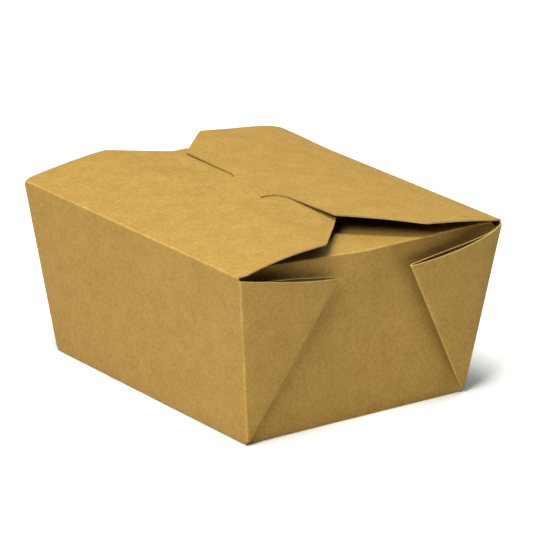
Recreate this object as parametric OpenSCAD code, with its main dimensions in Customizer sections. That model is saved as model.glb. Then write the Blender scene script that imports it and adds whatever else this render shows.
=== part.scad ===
// Takeaway carton folded from one sheet of paperboard, shown closed.
// The back lid flap lies over the front one and two end flaps, and its tongue goes
// through a slit. Each corner is a web folded in two, flat on the end panel's outside.
// The frame has +X along the length, +Z up, and its origin under the middle of the base.

/* [Carton] */
// Length of the top, along the lid folds
top_length = 127; // [120:1:136]
// Width of the top, from one lid fold to the other
top_width = 109; // [104:1:116]
// Length of the base
base_length = 113; // [106:1:118]
// Width of the base
base_width = 91; // [86:1:96]
// Height of the lid folds over the floor
side_height = 62; // [54:1:72]
// Thickness of the card
card_t = 0.5; // [0.4:0.05:0.6]

/* [Creases] */
// How much thicker than the card a crease is
crease_swell = 0.1; // [0.06:0.01:0.16]
// Air left between two layers of card that lie on each other
layer_gap = 0.2; // [0.1:0.05:0.3]
// How far each crease stops short of the corners
crease_stop = 1; // [0.8:0.1:1.5]

/* [Corner webs] */
// Length of a web's own fold, from the bottom corner to its tip
web_fold_length = 62.6; // [58:0.2:63]
// How far a web's cut top edge starts below the lid folds
web_drop = 0.3; // [0.3:0.05:0.8]
// Depth of the hollow in a web's cut top edge
web_dip = 1; // [0.4:0.1:2]
// Angle by which the flatter webs spring off the end panel
flat_web_spring = 0.6; // [0.2:0.1:1.5]
// Angle by which the looser webs spring off the end panel
loose_web_spring = 4; // [2:0.5:6]

/* [End flaps] */
// Depth of an end flap, from its fold inwards
end_flap_depth = 38; // [30:1:44]
// How far the sides of an end flap stay inside the lid folds
end_flap_inset = 2.5; // [2:0.1:4]
// Size of the cut corners of an end flap
end_flap_corner = 14; // [8:1:18]
// Angle at which an end flap slopes down into the carton
end_flap_slope = 4; // [2:0.5:8]
// How far the fold of an end flap lies below the lid folds
end_fold_drop = 0.5; // [0.3:0.1:1]

/* [Lid flaps] */
// How far the closed lid bows up in the middle
lid_rise = 5.5; // [4:0.25:7]
// Air between the back flap and the front flap that it lies on
lid_gap = 0.3; // [0.2:0.05:0.5]
// Distance from the back fold's axis to the start of the back flap
lid_fold_gap = 0.8; // [0.6:0.05:1]
// Length of the straight side of a lid flap, before its cut corner
flap_side = 33.75; // [30:0.25:38]
// How far the back flap passes the middle of the lid
back_reach = 0.5; // [0:0.1:1.5]
// How far the front flap passes the middle of the lid, below the back flap
front_reach = 5; // [3:0.1:8]
// Distance from the middle of the lid to the side of the front flap's end
front_tip = 47; // [44:0.5:50]

/* [Lock] */
// Half the width of the back flap's tongue
tongue_half = 10.5; // [8:0.25:13]
// How far the tongue reaches past the middle of the lid before it dives
tongue_reach = 7; // [6:0.1:8.5]
// Radius of the hooks where the tongue meets the free edge
hook_radius = 3.5; // [2:0.1:4.2]
// Length of the tongue's end below its bend
tongue_tip = 2.6; // [2:0.1:4]
// Angle by which the tongue's end is bent down
tongue_dip = 85; // [82:0.5:86]
// Air around the tongue's end in the slit of the front flap
slit_clear = 0.3; // [0.25:0.05:0.5]

/* [Hidden] */

// Card colour on the side panels, the end panels and the lid
side_colour = [0.72, 0.56, 0.34];
lid_colour = [0.80, 0.65, 0.38];

// Segments of a full turn on the creases and on the lid's arch
crease_fn = 24;
arch_fn = 720;
// Angle between the points of a rounded outline
arc_step = 15;
// Number of straight pieces in a web's hollow top edge
dip_steps = 6;

crease_d = card_t + crease_swell;
layer_step = card_t + layer_gap;
fold_d = card_t + layer_step + 2 * crease_swell;

// Panels are drawn about the middle of the card, so they rise from half its thickness.
panel_rise = side_height - card_t / 2;
side_run = (top_width - base_width) / 2;
end_run = (top_length - base_length) / 2;
side_lean = atan(side_run / panel_rise);
end_lean = atan(end_run / panel_rise);
side_slant = panel_rise / cos(side_lean);
end_slant = panel_rise / cos(end_lean);
side_splay = atan(end_run / side_slant);
end_splay = atan(side_run / end_slant);
corner_length = norm([end_run, side_run, panel_rise]);

// Flat on the table, base, side panel, web and end panel fill the whole turn about a corner.
web_half_angle = 45 - (side_splay + end_splay) / 2;
web_tip = web_fold_length * [sin(web_half_angle), cos(web_half_angle)];
web_corner = [0, corner_length - web_drop];

// The end panel lies behind both layers of the webs, inside the side panels.
end_inset = 2 * layer_step;
fold_inset = card_t / 2 + layer_gap + fold_d / 2;
end_foot_x = base_length / 2 - end_inset / cos(end_lean);
end_side_inset = fold_inset / cos(end_splay);
end_foot_v = -end_inset * tan(end_lean);
end_top_v = end_foot_v + (panel_rise - end_fold_drop) / cos(end_lean);
end_fold_x = end_foot_x + (panel_rise - end_fold_drop) * tan(end_lean);
end_flap_half = top_width / 2 - end_flap_inset;

// Each lid flap is part of a round arch from lid fold to lid fold, and the front one is flatter.
front_rise = lid_rise - card_t - lid_gap;
bend_z = arch_centre(lid_rise) + sqrt(arch_radius(lid_rise) ^ 2 - tongue_reach ^ 2);
front_start = top_length / 2 - crease_stop - lid_fold_gap;
slit_width = card_t + 2 * slit_clear;
slit_place = tongue_reach + (card_t + lid_gap) / tan(tongue_dip);

// A space larger than the carton, which starts at the floor.
above_floor = 2 * (top_length + side_height);

// A flat panel of card about its middle plane.
module sheet(points) {
    linear_extrude(card_t, center = true)
        polygon(points);
}

// A crease along X, centred on the origin, for a fold of the given length.
module crease(length, d = crease_d) {
    rotate([0, 90, 0])
        cylinder(h = length - 2 * crease_stop, d = d, center = true, $fn = crease_fn);
}

module both_sides() {
    children();
    mirror([0, 1, 0]) children();
}

module both_ends() {
    children();
    mirror([1, 0, 0]) children();
}

// Stands a sheet up on the leaning front side, with its own Y up the slant.
module on_side() {
    translate([0, -base_width / 2, card_t / 2])
        rotate([90 + side_lean, 0, 0])
            children();
}

// Stands a sheet up on the leaning end, a depth behind the outer web,
// with its own X along the carton's Y and its own Y up the slant.
module on_end(depth) {
    translate([base_length / 2, 0, card_t / 2])
        rotate([0, end_lean, 0])
            translate([-depth, 0, 0])
                rotate([90, 0, 90])
                    children();
}

// Moves to the front bottom corner, with Y along the corner edge and X inwards.
module at_corner() {
    on_end(0)
        translate([-base_width / 2, 0, 0])
            rotate([0, 0, end_splay])
                children();
}

module base() {
    translate([0, 0, card_t / 2]) {
        sheet([for (s = [[-1, -1], [1, -1], [1, 1], [-1, 1]])
            [s.x * end_foot_x, s.y * base_width / 2]]);
        both_sides()
            translate([0, -base_width / 2, 0])
                crease(base_length);
        both_ends()
            translate([end_foot_x, 0, 0])
                rotate([0, 0, 90])
                    crease(base_width);
    }
}

module side_panel() {
    on_side() {
        sheet([
            [-base_length / 2, 0],
            [base_length / 2, 0],
            [top_length / 2, side_slant],
            [-top_length / 2, side_slant]
        ]);
        translate([0, side_slant, 0])
            crease(top_length);
    }
}

// The top corners beside the end flap are cut down to clear the lid.
module end_panel() {
    foot = base_width / 2 - end_side_inset;
    head = top_width / 2 - end_side_inset;
    relief = head - end_flap_half;
    on_end(end_inset)
        sheet([
            [-foot, end_foot_v],
            [foot, end_foot_v],
            [head, end_top_v - 2 * relief],
            [end_flap_half, end_top_v],
            [-end_flap_half, end_top_v],
            [-head, end_top_v - 2 * relief]
        ]);
}

module end_flap() {
    translate([end_fold_x, 0, side_height - end_fold_drop])
        rotate([0, -end_flap_slope, 0]) {
            sheet([
                [0, -end_flap_half],
                [0, end_flap_half],
                [-end_flap_corner, end_flap_half - end_flap_corner / 3],
                [-end_flap_depth, end_flap_half - end_flap_corner],
                [-end_flap_depth, -end_flap_half + end_flap_corner],
                [-end_flap_corner, -end_flap_half + end_flap_corner / 3]
            ]);
            rotate([0, 0, 90])
                crease(2 * end_flap_half);
        }
}

// Points along the hollow top edge of a web, from the tip to the corner.
function web_top(corner) = let (
        along = corner - web_tip,
        across = [-along.y, along.x] / norm(along)
    ) [for (i = [0 : dip_steps])
        let (t = i / dip_steps)
        web_tip + t * along + 4 * web_dip * t * (1 - t) * across];

// One layer of a web, which starts a distance in from the corner edge.
module web_layer(inset) {
    sheet(concat(
        [[inset, inset / tan(web_half_angle)]],
        web_top(web_corner + inset / web_tip.x * (web_tip - web_corner))
    ));
}

// Two layers joined at the web's own fold, sprung off the end panel about the corner edge.
module web(spring) {
    at_corner() {
        translate([0, corner_length / 2, 0])
            rotate([0, 0, 90])
                crease(corner_length);
        rotate([0, -spring, 0]) {
            web_layer(0);
            translate([0, 0, -layer_step])
                web_layer(fold_inset);
            translate([web_tip.x / 2, web_tip.y / 2, -layer_step / 2])
                rotate([0, 0, 90 - web_half_angle])
                    crease(web_fold_length, fold_d);
        }
        translate([fold_inset, corner_length / 2, -1.5 * layer_step])
            rotate([0, 0, 90])
                crease(corner_length - 2 * fold_inset, fold_d);
    }
}

// The webs that spring the same way stand at opposite corners.
module webs() {
    for (turn = [0, 180])
        rotate([0, 0, turn]) {
            web(flat_web_spring);
            mirror([0, 1, 0])
                web(loose_web_spring);
        }
}

// The folded sheet with the front lid flap, which the back one holds down.
module carton() {
    color(side_colour)
        intersection() {
            union() {
                base();
                both_sides() side_panel();
                both_ends() {
                    end_panel();
                    end_flap();
                }
                webs();
                front_flap();
            }
            translate([0, 0, above_floor / 2])
                cube(above_floor, center = true);
        }
}

// Closes an outline given for its +X half, from the fold to the free edge.
function mirrored(half) = concat(half, [for (i = [len(half) - 1 : -1 : 0]) [-half[i].x, half[i].y]]);

function arch_radius(rise) = ((top_width / 2) ^ 2 + rise ^ 2) / (2 * rise);

function arch_centre(rise) = side_height + rise - arch_radius(rise);

// The side of a lid flap's outline, with its cut corner at 45 degrees down to the given tip.
function flap_edge(tip) = [
    [top_length / 2, lid_fold_gap - top_width / 2],
    [top_length / 2, flap_side - top_width / 2],
    [tip, flap_side - top_width / 2 + top_length / 2 - tip]
];

// The front flap starts at its crease and ends below the back flap.
function front_plan() = mirrored(concat(
    [
        [front_start, -top_width / 2],
        [front_start, lid_fold_gap - top_width / 2]
    ],
    flap_edge(front_tip),
    [[front_tip, front_reach]]
));

// The back flap ends in a tongue with a hook on each side, drawn here as seen from its own fold.
function back_plan() = mirrored(concat(
    flap_edge(top_length / 2 - top_width / 2 + flap_side - back_reach),
    [for (a = [270 : -arc_step : 180])
        [
            tongue_half + hook_radius * (1 + cos(a)),
            back_reach + hook_radius * (1 + sin(a))
        ]],
    [[tongue_half, tongue_reach]]
));

// An arched sheet of card over the whole length of the carton.
module arch(rise) {
    outer_r = arch_radius(rise) + card_t / 2;
    translate([0, 0, arch_centre(rise)])
        rotate([0, 90, 0])
            difference() {
                cylinder(h = 2 * top_length, r = outer_r, center = true, $fn = arch_fn);
                cylinder(h = 3 * top_length, r = outer_r - card_t, center = true, $fn = arch_fn);
            }
}

// Cuts the arched sheet to the outline given as its child.
module arched(rise) {
    intersection() {
        arch(rise);
        translate([0, 0, side_height - lid_rise])
            linear_extrude(3 * lid_rise)
                children();
    }
}

module front_flap() {
    arched(front_rise)
        difference() {
            polygon(front_plan());
            translate([-tongue_half - slit_clear, -slit_place - slit_width / 2])
                square([2 * (tongue_half + slit_clear), slit_width]);
        }
}

// The back flap lies on the front one, and its tongue dives through the slit.
module back_flap() {
    color(lid_colour)
        rotate([0, 0, 180]) {
            arched(lid_rise)
                polygon(back_plan());
            translate([0, tongue_reach, bend_z]) {
                rotate([-tongue_dip, 0, 0])
                    sheet([
                        [-tongue_half, 0],
                        [tongue_half, 0],
                        [tongue_half - tongue_tip / 2, tongue_tip],
                        [tongue_tip / 2 - tongue_half, tongue_tip]
                    ]);
                crease(2 * tongue_half);
            }
        }
}

carton();
back_flap();
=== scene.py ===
# A closed takeaway carton of plain kraft board on a pale floor, in soft studio light.
# The whole carton is one folded sheet. It is built here as the middle surface of the card,
# panel by panel with round folds between them, and is then given its thickness.
import math
from collections import namedtuple

import bpy
import bmesh
from mathutils import Matrix, Vector, noise
from mathutils.geometry import delaunay_2d_cdt, intersect_point_line


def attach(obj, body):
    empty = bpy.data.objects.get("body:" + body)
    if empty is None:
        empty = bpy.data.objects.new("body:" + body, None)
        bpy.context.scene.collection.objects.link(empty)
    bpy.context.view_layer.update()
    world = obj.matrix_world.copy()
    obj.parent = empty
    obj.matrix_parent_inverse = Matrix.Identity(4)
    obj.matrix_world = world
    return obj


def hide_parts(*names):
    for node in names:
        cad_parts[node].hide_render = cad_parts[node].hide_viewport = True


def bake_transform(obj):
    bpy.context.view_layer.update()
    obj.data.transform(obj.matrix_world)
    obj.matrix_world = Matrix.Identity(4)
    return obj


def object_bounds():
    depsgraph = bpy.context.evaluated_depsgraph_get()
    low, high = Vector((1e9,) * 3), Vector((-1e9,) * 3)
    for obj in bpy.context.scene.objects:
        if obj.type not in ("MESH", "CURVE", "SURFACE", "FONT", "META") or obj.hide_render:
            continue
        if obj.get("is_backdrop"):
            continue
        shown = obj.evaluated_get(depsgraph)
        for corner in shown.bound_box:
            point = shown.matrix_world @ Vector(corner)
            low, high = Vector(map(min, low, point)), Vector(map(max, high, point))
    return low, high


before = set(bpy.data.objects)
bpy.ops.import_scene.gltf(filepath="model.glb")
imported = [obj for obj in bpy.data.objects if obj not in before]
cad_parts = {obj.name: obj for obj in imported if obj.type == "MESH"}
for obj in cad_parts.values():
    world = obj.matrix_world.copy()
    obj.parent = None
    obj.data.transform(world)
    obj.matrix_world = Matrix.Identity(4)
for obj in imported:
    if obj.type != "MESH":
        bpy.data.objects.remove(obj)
bounds_at_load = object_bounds()

# Sizes in millimetres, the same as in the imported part. Those in X and Y are from the middle.
MM = 0.001
CARD = 0.5
TOP_X, TOP_Y, TOP_Z = 63.5, 54.5, 62.0
BASE_X, BASE_Y = 56.5, 45.5
LAYER = 0.7
END_DEPTH = 2 * LAYER
END_FOLD_Z = 61.5
END_FLAP_Y = 52.0
# The side of an end flap: the depth from its fold, and how far it stays inside END_FLAP_Y
END_FLAP_SIDE = ((4, 1.5), (14, 5), (38, 14))
TONGUE_X, TONGUE_Y = 10.5, -7.0

# What follows from them for the middle surface of the card, which is built
BASE_Z = CARD / 2
RISE = TOP_Z - BASE_Z
SIDE_LEAN = math.atan((TOP_Y - BASE_Y) / RISE)
END_LEAN = math.atan((TOP_X - BASE_X) / RISE)
SIDE_SLANT = RISE / math.cos(SIDE_LEAN)
END_SLANT = RISE / math.cos(END_LEAN)
SIDE_SPLAY = math.atan((TOP_X - BASE_X) / SIDE_SLANT)
END_SPLAY = math.atan((TOP_Y - BASE_Y) / END_SLANT)
WEB_HALF = math.radians(45) - (SIDE_SPLAY + END_SPLAY) / 2
WEB_DIR = Vector((math.sin(WEB_HALF), math.cos(WEB_HALF)))
WEB_IN = Vector((-math.cos(WEB_HALF), math.sin(WEB_HALF)))
END_FOOT_X = BASE_X - END_DEPTH / math.cos(END_LEAN)
END_FOOT_V = -END_DEPTH * math.tan(END_LEAN)
END_TOP_V = END_FOOT_V + (END_FOLD_Z - BASE_Z) / math.cos(END_LEAN)
END_FOLD_X = END_FOOT_X + (END_FOLD_Z - BASE_Z) * math.tan(END_LEAN)

# How this one carton sits, read off the photo. The webs at diagonal corners are alike.
Web = namedtuple("Web", "length spring parted outer_dip inner_dip")
LOOSE_WEB = Web(length=62.6, spring=2.8, parted=1.6, outer_dip=1.4, inner_dip=0.8)
FLAT_WEB = Web(length=63.3, spring=1.3, parted=1.9, outer_dip=0.65, inner_dip=0.1)
# How far the middle of a panel bows out, and how uneven each part of the sheet is
SIDE_BOW, END_BOW = 0.35, -0.8
SIDE_WAVE, END_WAVE, WEB_WAVE, BACK_WAVE, FRONT_WAVE = 0.25, 0.2, 0.12, 0.1, 0.12
# The top of an end panel is drawn in by a share of y below the flatter web, and in mm below
# the looser web, where the panel is pressed in by GROOVE too.
FLAT_RECESS, LOOSE_RECESS, GROOVE = 0.125, 1.3, 1.3
END_FLAP_SLOPE = math.radians(2.6)
CORNER_LIFT = 0.8
# How high the lid flaps rise, and how far the back one's sides stand up. Pairs are for the
# left and the right.
BACK_RISE, FRONT_RISE = 5.45, (4.85, 5.25)
BACK_TIPS = (0.3, 0.5)
# How far the front flap lies below the back one: least, and more at the left and the right
FLAP_GAP, LEFT_GAP, RIGHT_GAP = 0.62, 0.3, 1.75
TONGUE_DIP, SLIT_LIFT, DIVE_DEPTH = 0.15, 0.8, 2.5
SLIT_X, SLIT_NEAR, SLIT_FAR = 10.7, -7.65, -6.49
HOOK_X = 17

# How far the panels stop short of a fold, and where their edges end beside the corners
SETBACK = 0.5
INNER_SETBACK = 1.15
BASE_SEAM_X, TOP_SEAM_X = 55.5, 62.5
END_SEAM_Y = 43.7
END_FLAP_SEAM_Y = END_FLAP_Y - 0.4
CORNER_LOW, CORNER_HIGH = 1.48, 61.6
WEB_START = 2.6
INNER_LOW, INNER_HIGH = WEB_START - 0.3, 60.2

# How fine the net is: steps along an edge, spacing inside a panel, and steps round a fold
STEP, FINE_STEP = 2.5, 1.2
NET, BASE_NET, LID_NET = 3.0, 5.0, 2.4
FOLD_STEPS, TURN_STEPS, HOOK_STEPS = 6, 8, 8
# The height of a row and the margin inside an edge, as shares of the spacing
NET_ROW, NET_MARGIN = 0.87, 0.4
# A face of less than this doubled area is a needle. Points this close are one, and an open
# loop of up to this length is a hole to close.
NEEDLE_AREA, WELD, LARGEST_HOLE = 0.01, 0.02, 16


def mix(a, b, t):
    return a + (b - a) * t


def smooth(t):
    t = min(max(t, 0.0), 1.0)
    return t * t * (3 - 2 * t)


def rising(x, start, run):
    """Goes softly from 0 to 1 while x runs on from start."""
    return smooth((x - start) / run)


def wave(x, y, seed, size):
    """Soft unevenness between about -1 and 1."""
    return noise.noise(Vector((x / size, y / size, seed * 7.3)))


def grid_faces(rows, columns):
    return [
        [r * columns + c, r * columns + c + 1, (r + 1) * columns + c + 1, (r + 1) * columns + c]
        for r in range(rows - 1)
        for c in range(columns - 1)
    ]


def line(a, b, step=STEP):
    """Even points from a to b, with both ends."""
    a, b = Vector(a), Vector(b)
    count = max(1, round((b - a).length / step))
    return [a.lerp(b, i / count) for i in range(count + 1)]


def span(a, b, step=STEP):
    """Even numbers from a to b, with both ends."""
    return [p.x for p in line((a, 0), (b, 0), step)]


def curve(a, corner, b, count):
    """Points of a round bend from a to b, whose two ends point at the corner."""
    shares = [k / count for k in range(count + 1)]
    return [(1 - t) ** 2 * a + 2 * t * (1 - t) * corner + t ** 2 * b for t in shares]


def joined(*parts):
    """One outline out of several lines, without the points that they share."""
    out = []
    for part in parts:
        for p in part:
            if not out or (Vector(p) - out[-1]).length > 1e-4:
                out.append(Vector(p))
    if (out[0] - out[-1]).length < 1e-4:
        out.pop()
    return out


def path(*corners):
    """Even points along a run of straight lines."""
    return joined(*(line(a, b) for a, b in zip(corners, corners[1:])))


def inside(p, loop):
    """Whether a flat point lies inside a closed outline."""
    odd = False
    for i, a in enumerate(loop):
        b = loop[i - 1]
        if (a.y > p.y) != (b.y > p.y):
            if p.x < (b.x - a.x) * (p.y - a.y) / (b.y - a.y) + a.x:
                odd = not odd
    return odd


def to_edge(p, loop, i):
    """Distance from a flat point to one edge of a closed outline."""
    a, b = loop[i - 1], loop[i]
    t = min(max(intersect_point_line(p, a, b)[1], 0), 1)
    return (p - a.lerp(b, t)).length


def near_edge(p, loops, margin):
    """Whether a flat point lies within a margin of any edge of some closed outlines."""
    return any(to_edge(p, loop, i) <= margin for loop in loops for i in range(len(loop)))


def split_at_needles(points, faces, needles):
    """Shares out the middle corner of each flat needle to the face beside its long edge."""
    changed = True
    while changed:
        changed = False
        for needle in list(needles):
            i, j, k = needle
            a, b, c = max(
                ((i, j, k), (j, k, i), (k, i, j)),
                key=lambda turn: (points[turn[0]] - points[turn[2]]).length,
            )
            for face in faces:
                if a in face and c in face and b not in face:
                    d = next(i for i in face if i not in (a, c))
                    faces.remove(face)
                    faces += [[a, b, d], [b, c, d]]
                    needles.remove(needle)
                    changed = True
                    break


class Sheet:
    """Collects the points and faces of the card's middle surface."""

    def __init__(self):
        self.points = []
        self.faces = []
        self.folds = []

    def add(self, points, faces, folds=None):
        start = len(self.points)
        self.points += points
        self.folds += folds or [0.0] * len(points)
        self.faces += [[start + i for i in face] for face in faces]

    def panel(self, outline, place, spacing=NET, hole=None):
        """Fills a flat outline with an even net and sets it in space with place(u, v)."""
        loops = [[Vector(p) for p in loop] for loop in (outline, hole) if loop]
        flat = loops[0]
        points = []
        edges = []
        for loop in loops:
            start = len(points)
            points += loop
            edges += [(start + i, start + (i + 1) % len(loop)) for i in range(len(loop))]

        def on_card(p):
            return inside(p, flat) and not (hole and inside(p, loops[1]))

        low = Vector((min(p.x for p in flat), min(p.y for p in flat)))
        high = Vector((max(p.x for p in flat), max(p.y for p in flat)))
        rows = int((high.y - low.y) / (spacing * NET_ROW)) + 1
        columns = int((high.x - low.x) / spacing) + 1
        for j in range(rows + 1):
            for i in range(columns + 1):
                x = low.x + (i + 0.5 * (j % 2)) * spacing
                p = Vector((x, low.y + j * spacing * NET_ROW))
                if on_card(p) and not near_edge(p, loops, NET_MARGIN * spacing):
                    points.append(p)
        net = delaunay_2d_cdt(points, edges, [], 0, 1e-5)
        corners, triangles = net[0], net[2]
        faces = []
        needles = []
        for triangle in triangles:
            a, b, c = (corners[i] for i in triangle)
            if abs((b - a).cross(c - a)) < NEEDLE_AREA:
                needles.append(triangle)
            elif on_card((a + b + c) / 3):
                faces.append(list(triangle))
        split_at_needles(corners, faces, needles)
        self.add([place(p.x, p.y) for p in corners], faces)

    def strip(self, rows):
        """Adds a round strip from rows of points, weighted most along its middle for the paler
        crease, which is partly wear and partly painted highlight.
        """
        steps = len(rows[0]) - 1
        crease_wear_and_highlight = [math.sin(math.pi * k / steps) for k in range(steps + 1)]
        points = [p for row in rows for p in row]
        self.add(points, grid_faces(len(rows), steps + 1), crease_wear_and_highlight * len(rows))

    def fold(self, lines):
        """Joins two panels with a round strip, from their edge points and one on the fold."""
        self.strip([curve(a, corner, b, FOLD_STEPS) for a, corner, b in lines])

    def turn_back(self, lines):
        """Joins two layers that lie on each other, from their edge points and the way out."""
        angles = [math.pi * k / TURN_STEPS for k in range(TURN_STEPS + 1)]
        rows = []
        for a, outward, b in lines:
            middle = (a + b) / 2
            half = (a - b) / 2
            rows.append([
                middle + math.cos(angle) * half + math.sin(angle) * half.length * outward
                for angle in angles
            ])
        self.strip(rows)


# Where each panel lies: the base and lid flaps by x and y, the others by a width and a slant.
def base_at(x, y):
    return Vector((x, y, BASE_Z))


def corner_lift(x, y):
    """The back fold stands a little higher at its -X end."""
    return CORNER_LIFT * rising(-x, 30, 30) * rising(y, 30, 20)


def side_at(sy):
    normal = Vector((0, sy * math.cos(SIDE_LEAN), -math.sin(SIDE_LEAN)))
    up = Vector((0, sy * math.sin(SIDE_LEAN), math.cos(SIDE_LEAN)))
    foot = Vector((0, sy * BASE_Y, BASE_Z))

    def place(u, v):
        t = min(max(v / SIDE_SLANT, 0), 1)
        s = max(0.0, 1 - (u / mix(BASE_X, TOP_X, t)) ** 2)
        bow = 4 * t * (1 - t) * s * (SIDE_BOW + SIDE_WAVE * wave(u, v, 3 + sy, 38))
        rise = corner_lift(u, TOP_Y) * rising(v, 40, 20) if sy > 0 else 0
        return foot + Vector((u, 0, rise)) + v * up + bow * normal

    return place


def end_axes(sx):
    normal = Vector((sx * math.cos(END_LEAN), 0, -math.sin(END_LEAN)))
    up = Vector((sx * math.sin(END_LEAN), 0, math.cos(END_LEAN)))
    return normal, up


def end_recess(sx, y):
    """The top of an end panel is drawn in beside the corners, more below the flatter web."""
    if y * sx < 0:
        depth = FLAT_RECESS * abs(y) * rising(abs(y), 0, 12)
    else:
        depth = LOOSE_RECESS * rising(abs(y), 22, 24)
    return depth * (1 - 0.75 * rising(abs(y), 44, 8))


def web_groove(sx, u, v):
    """The end panel is pressed in below the looser web and beside its fold."""
    inward = BASE_Y - sx * u
    x = inward * math.cos(END_SPLAY) + v * math.sin(END_SPLAY)
    along = v * math.cos(END_SPLAY) - inward * math.sin(END_SPLAY)
    free = max(0.0, x * math.cos(WEB_HALF) - along * math.sin(WEB_HALF))
    return GROOVE * math.exp(-free / 2.4) * rising(x, 1.3, 3.5) * rising(v, 0, 5)


def end_at(sx):
    normal, up = end_axes(sx)
    foot = Vector((sx * BASE_X, 0, BASE_Z)) - END_DEPTH * normal

    def place(u, v):
        t = min(max(v / END_SLANT, 0), 1)
        s = max(0.0, 1 - (u / 50) ** 2)
        bow = 4 * t * (1 - t) * s * (END_BOW + END_WAVE * wave(u, v, 9 + sx, 30))
        bow -= end_recess(sx, u) * rising(v, 34, 27)
        bow -= web_groove(sx, u, v)
        return foot + Vector((0, u, 0)) + v * up + bow * normal

    return place


def end_flap_at(sx):
    """An end flap slopes down into the carton and waves a little beside its fold."""

    def place(inward, y):
        sag = inward * math.tan(END_FLAP_SLOPE) * rising(inward, 0, 4)
        lift = 0.35 * math.exp(-((y + 21) / 22) ** 2) - 0.2 * math.exp(-((y - 20) / 20) ** 2)
        lift *= rising(inward, 0, 3)
        drawn_in = end_recess(sx, y) * (1 - rising(inward, 0, 14))
        return Vector((sx * (END_FOLD_X - drawn_in - inward), y, END_FOLD_Z - sag + lift))

    return place


def web_kind(sx, sy):
    return LOOSE_WEB if sx * sy > 0 else FLAT_WEB


def web_at(sx, sy, depth):
    """A web layer by the distance from the corner edge and along it. Its tip springs off."""
    web = web_kind(sx, sy)
    normal, up = end_axes(sx)
    corner = Vector((sx * BASE_X, sy * BASE_Y, BASE_Z))
    across = Vector((0, -sy * math.cos(END_SPLAY), 0)) + math.sin(END_SPLAY) * up
    along = Vector((0, sy * math.sin(END_SPLAY), 0)) + math.cos(END_SPLAY) * up

    def place(x, y):
        high = min(y / 50, 1)
        lift = web.spring * high * (1 - math.exp(-x / 6))
        lift += WEB_WAVE * rising(x, 0, 30) * wave(x, y, 20 + 3 * sx + sy, 16)
        gap = depth
        if depth:
            width = WEB_DIR.x * y / WEB_DIR.y + 2
            gap += web.parted * high ** 3 * math.sin(math.pi * min(max(x / width, 0), 1))
        return corner + x * across + y * along + (lift - gap) * normal

    place.across = across
    return place


def back_flap_at(x, y):
    """The back flap lies over the front one, and its tongue goes down to the slit."""
    s = (TOP_Y - y) / TOP_Y
    z = TOP_Z + BACK_RISE * (1 - max(0.0, 1 - s / 0.96) ** 2.1)
    z += mix(*BACK_TIPS, smooth(x)) * rising(abs(x), 8, 38) * rising(-y, -34, 24)
    z -= TONGUE_DIP * rising(-y, -TONGUE_Y - 5, 5) * (1 - rising(abs(x), 10, 6))
    z -= BACK_WAVE * (1 + wave(x, y, 41, 34)) * rising(-y, -TOP_Y, 12)
    return Vector((x, y, z + corner_lift(x, y)))


def front_flap_at(x, y):
    """The front flap rises quickly, then runs below the back one, and its slit stands up."""
    s = (y + TOP_Y) / TOP_Y
    right = rising(x, -30, 80)
    rounded = 1 - max(0.0, 1 - s / mix(0.63, 0.68, right)) ** mix(1.3, 2, right)
    z = TOP_Z + mix(*FRONT_RISE, right) * rounded
    gap = FLAP_GAP + LEFT_GAP * rising(-x, 12, 26) + RIGHT_GAP * rising(x, 11, 34)
    below = back_flap_at(x, y).z - gap
    z = mix(z, below, min(max((y + 20.5) / 16, 0), 1))
    if y < (SLIT_NEAR + SLIT_FAR) / 2:
        z += SLIT_LIFT * rising(y, -17, 9) * (1 - rising(abs(x), 7, 3.7))
    z += FRONT_WAVE * wave(x, y, 31, 34) * rising(y, -TOP_Y, 12) * (1 - rising(y, -16, 12))
    return Vector((x, y, z))


def free_y(x):
    """The free edge of the back flap, which runs a little askew on both sides of the tongue."""
    return -0.45 + 0.0175 * x if x > 0 else -1.2 - 0.023 * x


def side_corner(sx, x, y):
    """A point beside the corner edge, in the side panel's own width and slant."""
    return Vector((
        sx * (BASE_X + y * math.sin(SIDE_SPLAY) - x * math.cos(SIDE_SPLAY)),
        y * math.cos(SIDE_SPLAY) + x * math.sin(SIDE_SPLAY),
    ))


def end_corner(sy, x, y):
    """A point beside the corner edge, in the end panel's own width and slant."""
    return Vector((
        sy * (BASE_Y + y * math.sin(END_SPLAY) - x * math.cos(END_SPLAY)),
        y * math.cos(END_SPLAY) + x * math.sin(END_SPLAY),
    ))


# Where the points lie along a corner edge, on the outer and the inner layer
corner_ys = span(CORNER_LOW, CORNER_HIGH)
inner_ys = span(INNER_LOW, INNER_HIGH)


def add_base(sheet):
    side_y = SETBACK - BASE_Y
    end_x = END_FOOT_X - SETBACK
    front_edge = line((-BASE_SEAM_X, side_y), (BASE_SEAM_X, side_y))
    right_edge = line((end_x, -END_SEAM_Y), (end_x, END_SEAM_Y))
    back_edge = [Vector((p.x, -p.y)) for p in reversed(front_edge)]
    left_edge = [Vector((-p.x, p.y)) for p in reversed(right_edge)]
    sheet.panel(joined(front_edge, right_edge, back_edge, left_edge), base_at, BASE_NET)


def add_side(sheet, sy):
    """A side panel, with its fold to the base."""
    place = side_at(sy)
    bottom = [Vector((x, SETBACK)) for x in span(-BASE_SEAM_X, BASE_SEAM_X)]
    right = [side_corner(1, SETBACK, y) for y in corner_ys]
    left = [side_corner(-1, SETBACK, y) for y in reversed(corner_ys)]
    top = [Vector((x, SIDE_SLANT - SETBACK)) for x in span(TOP_SEAM_X, -TOP_SEAM_X)]
    sheet.panel(joined(bottom, right, top, left), place)
    sheet.fold([
        (base_at(p.x, sy * (BASE_Y - SETBACK)), base_at(p.x, sy * BASE_Y), place(p.x, p.y))
        for p in bottom
    ])


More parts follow.
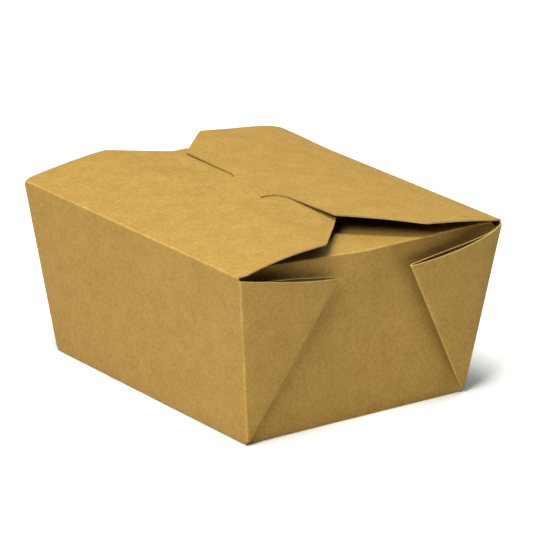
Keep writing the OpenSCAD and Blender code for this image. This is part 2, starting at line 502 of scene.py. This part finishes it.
def add_end(sheet, sx):
    """An end panel and its flap, with the folds to the base and between the two."""
    place = end_at(sx)
    bottom = [Vector((y, END_FOOT_V + SETBACK)) for y in span(-END_SEAM_Y, END_SEAM_Y)]
    right = [end_corner(1, INNER_SETBACK, y) for y in inner_ys]
    left = [end_corner(-1, INNER_SETBACK, y) for y in reversed(inner_ys)]
    top = [Vector((y, END_TOP_V - SETBACK)) for y in span(END_FLAP_SEAM_Y, -END_FLAP_SEAM_Y)]
    sheet.panel(joined(bottom, right, top, left), place)
    sheet.fold([
        (base_at(sx * (END_FOOT_X - SETBACK), p.x), base_at(sx * END_FOOT_X, p.x), place(*p))
        for p in bottom
    ])

    flap_place = end_flap_at(sx)
    seam = [Vector((SETBACK, y)) for y in span(-END_FLAP_SEAM_Y, END_FLAP_SEAM_Y)]
    corners = [(depth, END_FLAP_Y - cut) for depth, cut in END_FLAP_SIDE]
    corners += [(depth, -y) for depth, y in reversed(corners)]
    sheet.panel(joined(seam, path(*corners)), flap_place)
    sheet.fold([
        (
            place(p.x, p.y),
            Vector((sx * (END_FOLD_X - end_recess(sx, p.x)), p.x, END_FOLD_Z)),
            flap_place(SETBACK, p.x),
        )
        for p in top
    ])


def web_top(tip, end, dip, loose):
    """The cut edge of a web layer from its tip to the corner, hollow by dip."""
    run = end - tip
    down = Vector((-run.y, run.x)).normalized()
    out = []
    for t in span(0, 1, 0.06):
        # Both shapes are dip deep: the looser in the middle, the flatter nearer its tip.
        hollow = t * (1 - t) * (0.593 if loose else 1 - t)
        out.append(tip + t * run + 6.75 * dip * hollow * down)
    return out


def add_web(sheet, sx, sy):
    """A corner web: a layer folded from the side panel and one folded back over the end panel."""
    web = web_kind(sx, sy)
    loose = web is LOOSE_WEB
    outer = web_at(sx, sy, 0)
    inner = web_at(sx, sy, LAYER)
    side = side_at(sy)
    end = end_at(sx)
    fold_line = [y * WEB_DIR + LAYER / 2 * WEB_IN for y in span(WEB_START, web.length - 0.3)]
    tip = fold_line[-1]

    outer_side = [Vector((SETBACK, y)) for y in corner_ys]
    outer_top = web_top(tip, outer_side[-1], web.outer_dip, loose)
    sheet.panel(joined(outer_side[::-1], fold_line, outer_top), outer)
    sheet.fold([
        (side(*side_corner(sx, SETBACK, p.y)), outer(0, p.y), outer(*p))
        for p in outer_side
    ])

    inner_side = [Vector((INNER_SETBACK, y)) for y in inner_ys]
    inner_top = web_top(tip, inner_side[-1], web.inner_dip, loose)
    sheet.panel(joined(inner_side[::-1], fold_line, inner_top), inner)
    along = (outer(0, 1) - outer(0, 0)).normalized()
    fold_out = (-WEB_IN.x * inner.across - WEB_IN.y * along).normalized()
    sheet.turn_back([(outer(*p), fold_out, inner(*p)) for p in fold_line])
    sheet.turn_back([
        (inner(*p), -inner.across, end(*end_corner(sy, p.x, p.y)))
        for p in inner_side
    ])


def add_front_flap(sheet):
    """The front lid flap, folded from the front side panel, with the slit for the tongue."""
    near_y = SETBACK - TOP_Y
    near = [Vector((x, near_y)) for x in span(-TOP_SEAM_X, TOP_SEAM_X)]
    outline = joined(
        near,
        path(
            (62.9, -53.3), (TOP_X, -51.8), (TOP_X, -20.4), (62.9, -19.2), (36.6, 5.0),
            (-49.7, 4.8), (-49.7, -1.4), (-50.1, -2.3), (-62.8, -19.9), (-TOP_X, -21.3),
            (-TOP_X, -51.8), (-62.9, -53.3),
        ),
    )
    slit = joined(
        line((-SLIT_X, SLIT_NEAR), (SLIT_X, SLIT_NEAR), FINE_STEP),
        line((SLIT_X, SLIT_FAR), (-SLIT_X, SLIT_FAR), FINE_STEP),
    )
    sheet.panel(outline, front_flap_at, LID_NET, slit)
    side = side_at(-1)
    sheet.fold([
        (side(p.x, SIDE_SLANT - SETBACK), Vector((p.x, -TOP_Y, TOP_Z)), front_flap_at(*p))
        for p in near
    ])


def hook(sx):
    """The round hook between the free edge and the tongue, from the free edge on."""
    root = free_y(sx * HOOK_X)
    start, corner, stop = (HOOK_X, root), (11.3, root - 0.4), (TONGUE_X, -5.6)
    arc = curve(Vector(start), Vector(corner), Vector(stop), HOOK_STEPS)
    return [Vector((sx * p.x, p.y)) for p in arc]


def add_back_flap(sheet):
    """The back lid flap, with its fold, its tongue and the two hooks beside it."""
    far = [Vector((x, TOP_Y - SETBACK)) for x in span(TOP_SEAM_X, -TOP_SEAM_X)]
    left_hook, right_hook = hook(-1), hook(1)[::-1]
    tongue_end = line((-TONGUE_X, TONGUE_Y), (TONGUE_X, TONGUE_Y), 1.5)
    outline = joined(
        far,
        path((-62.9, 53.3), (-TOP_X, 51.8), (-TOP_X, 20.4), (-62.9, 19.1), (-43.3, -0.4)),
        line((-42.7, free_y(-42.7)), (-HOOK_X, free_y(-HOOK_X))),
        left_hook,
        line(left_hook[-1], (-TONGUE_X, TONGUE_Y), FINE_STEP),
        tongue_end,
        line((TONGUE_X, TONGUE_Y), right_hook[0], FINE_STEP),
        right_hook,
        line((HOOK_X, free_y(HOOK_X)), (41.3, free_y(41.3))),
        path((41.9, 0.75), (62.9, 21.2), (TOP_X, 22.4), (TOP_X, 51.8), (62.9, 53.3)),
    )
    sheet.panel(outline, back_flap_at, LID_NET)
    side = side_at(1)
    sheet.fold([
        (
            side(p.x, SIDE_SLANT - SETBACK),
            Vector((p.x, TOP_Y, TOP_Z + corner_lift(p.x, TOP_Y))),
            back_flap_at(*p),
        )
        for p in far
    ])

    # The tongue's end dives through the slit, a little narrower towards its tip.
    shares = (0, 0.12, 0.3, 0.6, 1.0)
    dive = []
    for p in (back_flap_at(*q) for q in tongue_end):
        taper = 1 - 0.12 * rising(abs(p.x), 8, 2.5)
        for t in shares:
            y = p.y - 0.28 * min(1, 6 * t)
            dive.append(Vector((p.x * mix(1, taper, t), y, p.z - DIVE_DEPTH * t)))
    sheet.add(dive, grid_faces(len(tongue_end), len(shares)))


carton = Sheet()
back = Sheet()
add_base(carton)
for sy in (-1, 1):
    add_side(carton, sy)
for sx in (-1, 1):
    add_end(carton, sx)
    for sy in (-1, 1):
        add_web(carton, sx, sy)
add_front_flap(carton)
add_back_flap(back)

# Colours of the board's face, cut edge and inside, and its grain as shades between two stops.
# The noise scales are per metre.
FACE_TONE = (0.32, 0.191, 0.0405)
EDGE_TONE = (0.34, 0.225, 0.075)
# The inside is darker, partly as the board's own inside and partly as painted shade for the gaps
# under the lids and between the web layers.
INSIDE_TONE_AND_PAINTED_SHADE = (0.17, 0.098, 0.019)
CLOUD_SCALE, FIBRE_SCALE, FINE_SCALE, FLECK_SCALE = 140, 800, 2600, 1500
CLOUD_SHADES = ((0.3, (0.94, 0.925, 0.86)), (0.7, (1.06, 1.065, 1.1)))
FIBRE_SHADES = ((0.33, (0.89, 0.875, 0.78)), (0.65, (1.065, 1.07, 1.14)))
FINE_SHADES = ((0.35, (0.95, 0.95, 0.89)), (0.65, (1.04, 1.045, 1.1)))
FLECK_SHADES = ((0.2, (0.75, 0.7, 0.62)), (0.27, (1, 1, 1)))
# Paler along the middle of a fold: partly wear where the fibres stretch, partly painted
# highlight.
CREASE_WEAR_AND_HIGHLIGHT_SHADES = ((0.3, (1, 1, 1)), (1.0, (1.22, 1.26, 1.6)))
ROUGHNESS, SHEEN = 0.82, 0.25
BUMP_STRENGTH, BUMP_HEIGHT = 0.1, 0.0002


def kraft_material(name, tone, lift):
    """Plain kraft board: mottled brown with fine fibres and a few dark flecks."""
    material = bpy.data.materials.new(name)
    material.use_nodes = True
    nodes, links = material.node_tree.nodes, material.node_tree.links
    shader = nodes["Principled BSDF"]
    shader.inputs["Roughness"].default_value = ROUGHNESS
    shader.inputs["Specular IOR Level"].default_value = SHEEN
    place = nodes.new("ShaderNodeTexCoord").outputs["Object"]

    def grain(scale, detail):
        texture = nodes.new("ShaderNodeTexNoise")
        texture.inputs["Scale"].default_value = scale
        texture.inputs["Detail"].default_value = detail
        links.new(place, texture.inputs["Vector"])
        return texture.outputs["Fac"]

    def ramp(value, stops):
        band = nodes.new("ShaderNodeValToRGB")
        for element, (at, shade) in zip(band.color_ramp.elements, stops):
            element.position = at
            element.color = (*shade, 1)
        links.new(value, band.inputs["Fac"])
        return band.outputs["Color"]

    def times(colour, shade):
        node = nodes.new("ShaderNodeMix")
        node.data_type = "RGBA"
        node.blend_type = "MULTIPLY"
        node.inputs["Factor"].default_value = 1.0
        links.new(colour, node.inputs["A"])
        links.new(shade, node.inputs["B"])
        return node.outputs["Result"]

    clouds = [(at, [c * s for c, s in zip(tone, shade)]) for at, shade in CLOUD_SHADES]
    colour = ramp(grain(CLOUD_SCALE, 4), clouds)
    fibre = grain(FIBRE_SCALE, 5)
    colour = times(colour, ramp(fibre, FIBRE_SHADES))
    colour = times(colour, ramp(grain(FINE_SCALE, 2), FINE_SHADES))
    colour = times(colour, ramp(grain(FLECK_SCALE, 1), FLECK_SHADES))
    # The card is paler along the middle of a fold: partly wear where the fibres stretch, partly a
    # painted highlight.
    crease_wear_and_highlight = nodes.new("ShaderNodeAttribute")
    crease_wear_and_highlight.attribute_name = "fold"
    colour = times(colour, ramp(crease_wear_and_highlight.outputs["Fac"], CREASE_WEAR_AND_HIGHLIGHT_SHADES))
    links.new(colour, shader.inputs["Base Color"])
    bump = nodes.new("ShaderNodeBump")
    bump.inputs["Strength"].default_value = BUMP_STRENGTH
    bump.inputs["Distance"].default_value = BUMP_HEIGHT * lift
    links.new(fibre, bump.inputs["Height"])
    links.new(bump.outputs["Normal"], shader.inputs["Normal"])
    return material


# The inside finish is partly painted shade for the gaps under the lids and between the layers.
finishes = (
    kraft_material("kraft_card", FACE_TONE, 1),
    kraft_material("kraft_card_edge", EDGE_TONE, 2),
    kraft_material("kraft_card_inside_and_painted_shade", INSIDE_TONE_AND_PAINTED_SHADE, 1),
)


def fill_corners(work):
    """Closes each short open loop with a fan of faces."""
    # A dict keeps the edges in one order, so that each run gives the same mesh.
    left = dict.fromkeys(e for e in work.edges if len(e.link_faces) == 1)
    while left:
        loop = [left.popitem()[0]]
        start, at = loop[0].verts
        while at is not start:
            step = next((e for e in at.link_edges if e in left), None)
            if step is None:
                break
            del left[step]
            loop.append(step)
            at = step.other_vert(at)
        length = sum(e.calc_length() for e in loop)
        if at is start and length < LARGEST_HOLE * MM:
            centre = sum((v.co for e in loop for v in e.verts), Vector()) / (2 * len(loop))
            middle = work.verts.new(centre)
            for e in loop:
                work.faces.new((e.verts[0], e.verts[1], middle))


def card_object(name, sheet, fill):
    """Welds a sheet, closes the small holes at its corners and gives it the card's thickness."""
    mesh = bpy.data.meshes.new(name)
    mesh.from_pydata([tuple(p * MM) for p in sheet.points], [], sheet.faces)
    layer = mesh.attributes.new("fold", "FLOAT", "POINT")
    layer.data.foreach_set("value", sheet.folds)
    work = bmesh.new()
    work.from_mesh(mesh)
    bmesh.ops.remove_doubles(work, verts=work.verts, dist=WELD * MM)
    if fill:
        fill_corners(work)
    bmesh.ops.recalc_face_normals(work, faces=work.faces)
    work.to_mesh(mesh)
    work.free()
    piece = bpy.data.objects.new(name, mesh)
    bpy.context.collection.objects.link(piece)
    thick = piece.modifiers.new("thickness", "SOLIDIFY")
    thick.thickness = CARD * MM
    thick.offset = 0
    thick.use_rim = True
    # The face, the rim and the inside take the three finishes in turn. The inside's darker finish
    # is partly the board's own inside and partly painted shade.
    thick.material_offset_rim = 1
    thick.material_offset = 2
    for finish in finishes:
        mesh.materials.append(finish)
    bpy.context.view_layer.update()
    thickened = piece.evaluated_get(bpy.context.evaluated_depsgraph_get())
    solid = bpy.data.meshes.new_from_object(thickened)
    piece.modifiers.clear()
    piece.data = solid
    solid.shade_smooth()
    solid.set_sharp_from_angle(angle=math.radians(50))
    bpy.data.meshes.remove(mesh)
    solid.name = name
    return piece


carton_card = card_object("carton_card", carton, True)
back_card = card_object("back_flap_card", back, False)
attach(carton_card, "tub")
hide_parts("carton")
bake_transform(back_card)
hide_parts("back_flap")

# Floor, with its half width in metres
FLOOR_REACH = 0.8
signs = ((-1, -1), (1, -1), (1, 1), (-1, 1))
floor_corners = [(sx * FLOOR_REACH, sy * FLOOR_REACH, 0) for sx, sy in signs]
floor_mesh = bpy.data.meshes.new("floor")
floor_mesh.from_pydata(floor_corners, [], [(0, 1, 2, 3)])
floor = bpy.data.objects.new("floor", floor_mesh)
bpy.context.collection.objects.link(floor)
floor_paint = bpy.data.materials.new("floor_paint")
floor_paint.use_nodes = True
floor_shader = floor_paint.node_tree.nodes["Principled BSDF"]
floor_shader.inputs["Base Color"].default_value = (0.82, 0.82, 0.83, 1)
floor_shader.inputs["Roughness"].default_value = 0.9
floor_mesh.materials.append(floor_paint)
floor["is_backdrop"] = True


def soft_light(name, place, target, size, power, colour):
    """A square soft light, in metres and watts."""
    data = bpy.data.lights.new(name, "AREA")
    data.shape = "SQUARE"
    data.size = size
    data.energy = power
    data.color = colour
    light = bpy.data.objects.new(name, data)
    light.location = place
    light.rotation_euler = (Vector(target) - Vector(place)).to_track_quat("-Z", "Y").to_euler()
    bpy.context.collection.objects.link(light)


soft_light("key", (0.55, -1.08, 1.0), (0, 0, 0.03), size=0.6, power=21.5, colour=(1, 1, 1))
soft_light("top", (0.18, -0.35, 1.9), (0, 0, 0), size=0.8, power=46, colour=(1, 1, 0.92))
soft_light("back", (-0.3, 1.3, 1.2), (0, 0, 0.03), size=0.8, power=10, colour=(0.8, 0.92, 1))

# The surroundings look white to the camera, and shine only faintly on the carton.
SHINE, BACKDROP = 0.05, 1.0
world = bpy.data.worlds.new("studio")
world.use_nodes = True
sky = world.node_tree
shine = sky.nodes["Background"]
shine.inputs["Color"].default_value = (1, 1, 1, 1)
shine.inputs["Strength"].default_value = SHINE
backdrop = sky.nodes.new("ShaderNodeBackground")
backdrop.inputs["Color"].default_value = (1, 1, 1, 1)
backdrop.inputs["Strength"].default_value = BACKDROP
seen = sky.nodes.new("ShaderNodeMixShader")
light_path = sky.nodes.new("ShaderNodeLightPath")
sky.links.new(light_path.outputs["Is Camera Ray"], seen.inputs["Fac"])
sky.links.new(shine.outputs["Background"], seen.inputs[1])
sky.links.new(backdrop.outputs["Background"], seen.inputs[2])
sky.links.new(seen.outputs["Shader"], sky.nodes["World Output"].inputs["Surface"])
scene = bpy.context.scene
scene.world = world
scene.view_settings.view_transform = "Standard"

# Camera, solved from the photo's folds and corners. The distance and the height of the point
# that it turns about are in millimetres, and the other lengths in the photo's pixels.
AZIMUTH, ELEVATION, ROLL = math.radians(53.412), math.radians(18.831), math.radians(0.867)
DISTANCE, AIM_Z = 1483.89, 30
FOCAL, HALF_FRAME = 4325.85, 275.0
AIM_X, AIM_Y = 259.24, 288.83
SENSOR = 36
away = Vector((
    math.sin(AZIMUTH) * math.cos(ELEVATION),
    -math.cos(AZIMUTH) * math.cos(ELEVATION),
    math.sin(ELEVATION),
))
level = (-away).cross(Vector((0, 0, 1))).normalized()
upright = level.cross(-away)
right = level * math.cos(ROLL) + upright * math.sin(ROLL)
up = -level * math.sin(ROLL) + upright * math.cos(ROLL)
eye = Vector((0, 0, AIM_Z)) + away * DISTANCE
eye -= right * ((AIM_X - HALF_FRAME) / FOCAL * DISTANCE)
eye += up * ((AIM_Y - HALF_FRAME) / FOCAL * DISTANCE)
lens = bpy.data.cameras.new("camera")
lens.sensor_width = SENSOR
lens.lens = FOCAL / (2 * HALF_FRAME) * SENSOR
lens.clip_end = 20
camera = bpy.data.objects.new("camera", lens)
camera.matrix_world = Matrix((
    (right.x, up.x, away.x, eye.x * MM),
    (right.y, up.y, away.y, eye.y * MM),
    (right.z, up.z, away.z, eye.z * MM),
    (0, 0, 0, 1),
))
bpy.context.collection.objects.link(camera)
scene.camera = camera


def as_lists(box):
    if hasattr(box, "items"):
        return {key: as_lists(value) for key, value in box.items()}
    if isinstance(box, (int, float, str)):
        return box
    return [as_lists(part) for part in box]


{"at_load": as_lists(bounds_at_load), "at_finish": as_lists(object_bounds())}
